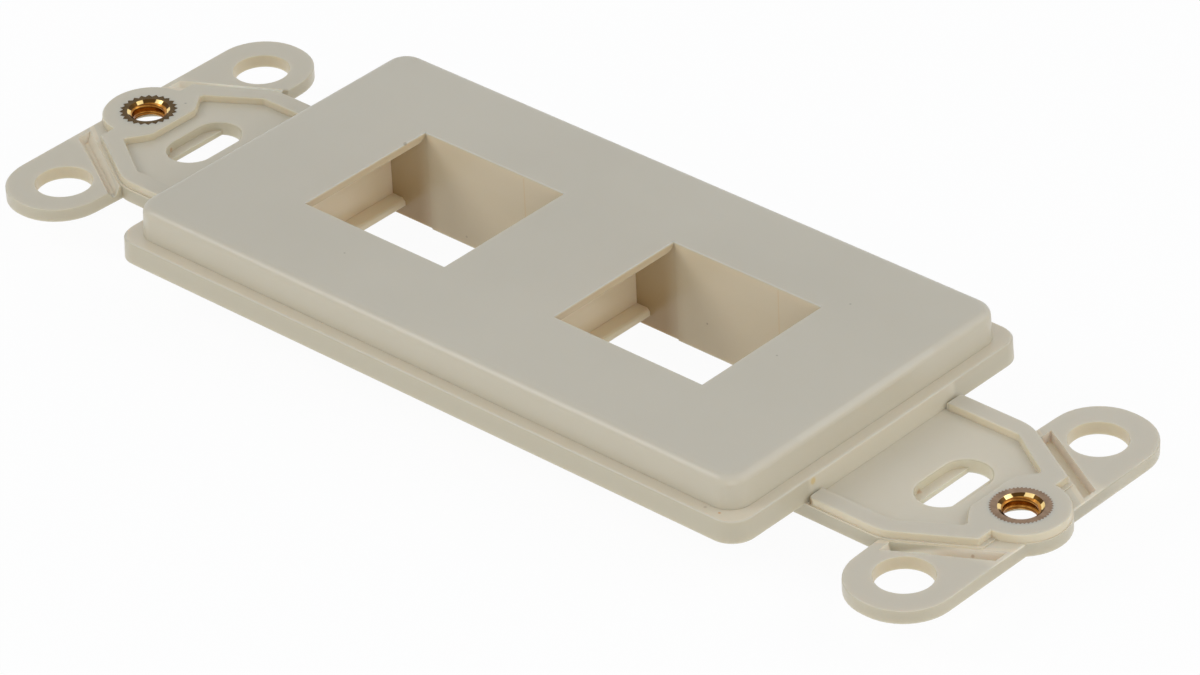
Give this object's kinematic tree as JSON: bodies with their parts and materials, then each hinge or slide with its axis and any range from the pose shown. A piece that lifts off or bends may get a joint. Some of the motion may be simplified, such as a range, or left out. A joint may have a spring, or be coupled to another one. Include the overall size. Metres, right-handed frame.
{
  "type": "keystone faceplate",
  "caption": "Flat moulded decorator-style faceplate with square keystone ports, raised face block, mounting straps with break-off ears and brass threaded inserts.",
  "frame": {"origin": "middle of the plate, on the plane of the strap's underside, midway between the box-screw slots", "axes": "+X along the plate from the left insert to the right insert, +Y across the plate, +Z out of the face towards the room"},
  "size_m": [0.105, 0.0356, 0.0096],
  "materials": {
    "plastic": "fine satin ivory moulded plastic",
    "brass": "machined brass with a darker toothed rim"
  },
  "bodies": {
    "root": {"faceplate": "plastic", "left_insert": "brass", "right_insert": "brass"}
  },
  "joints": []
}
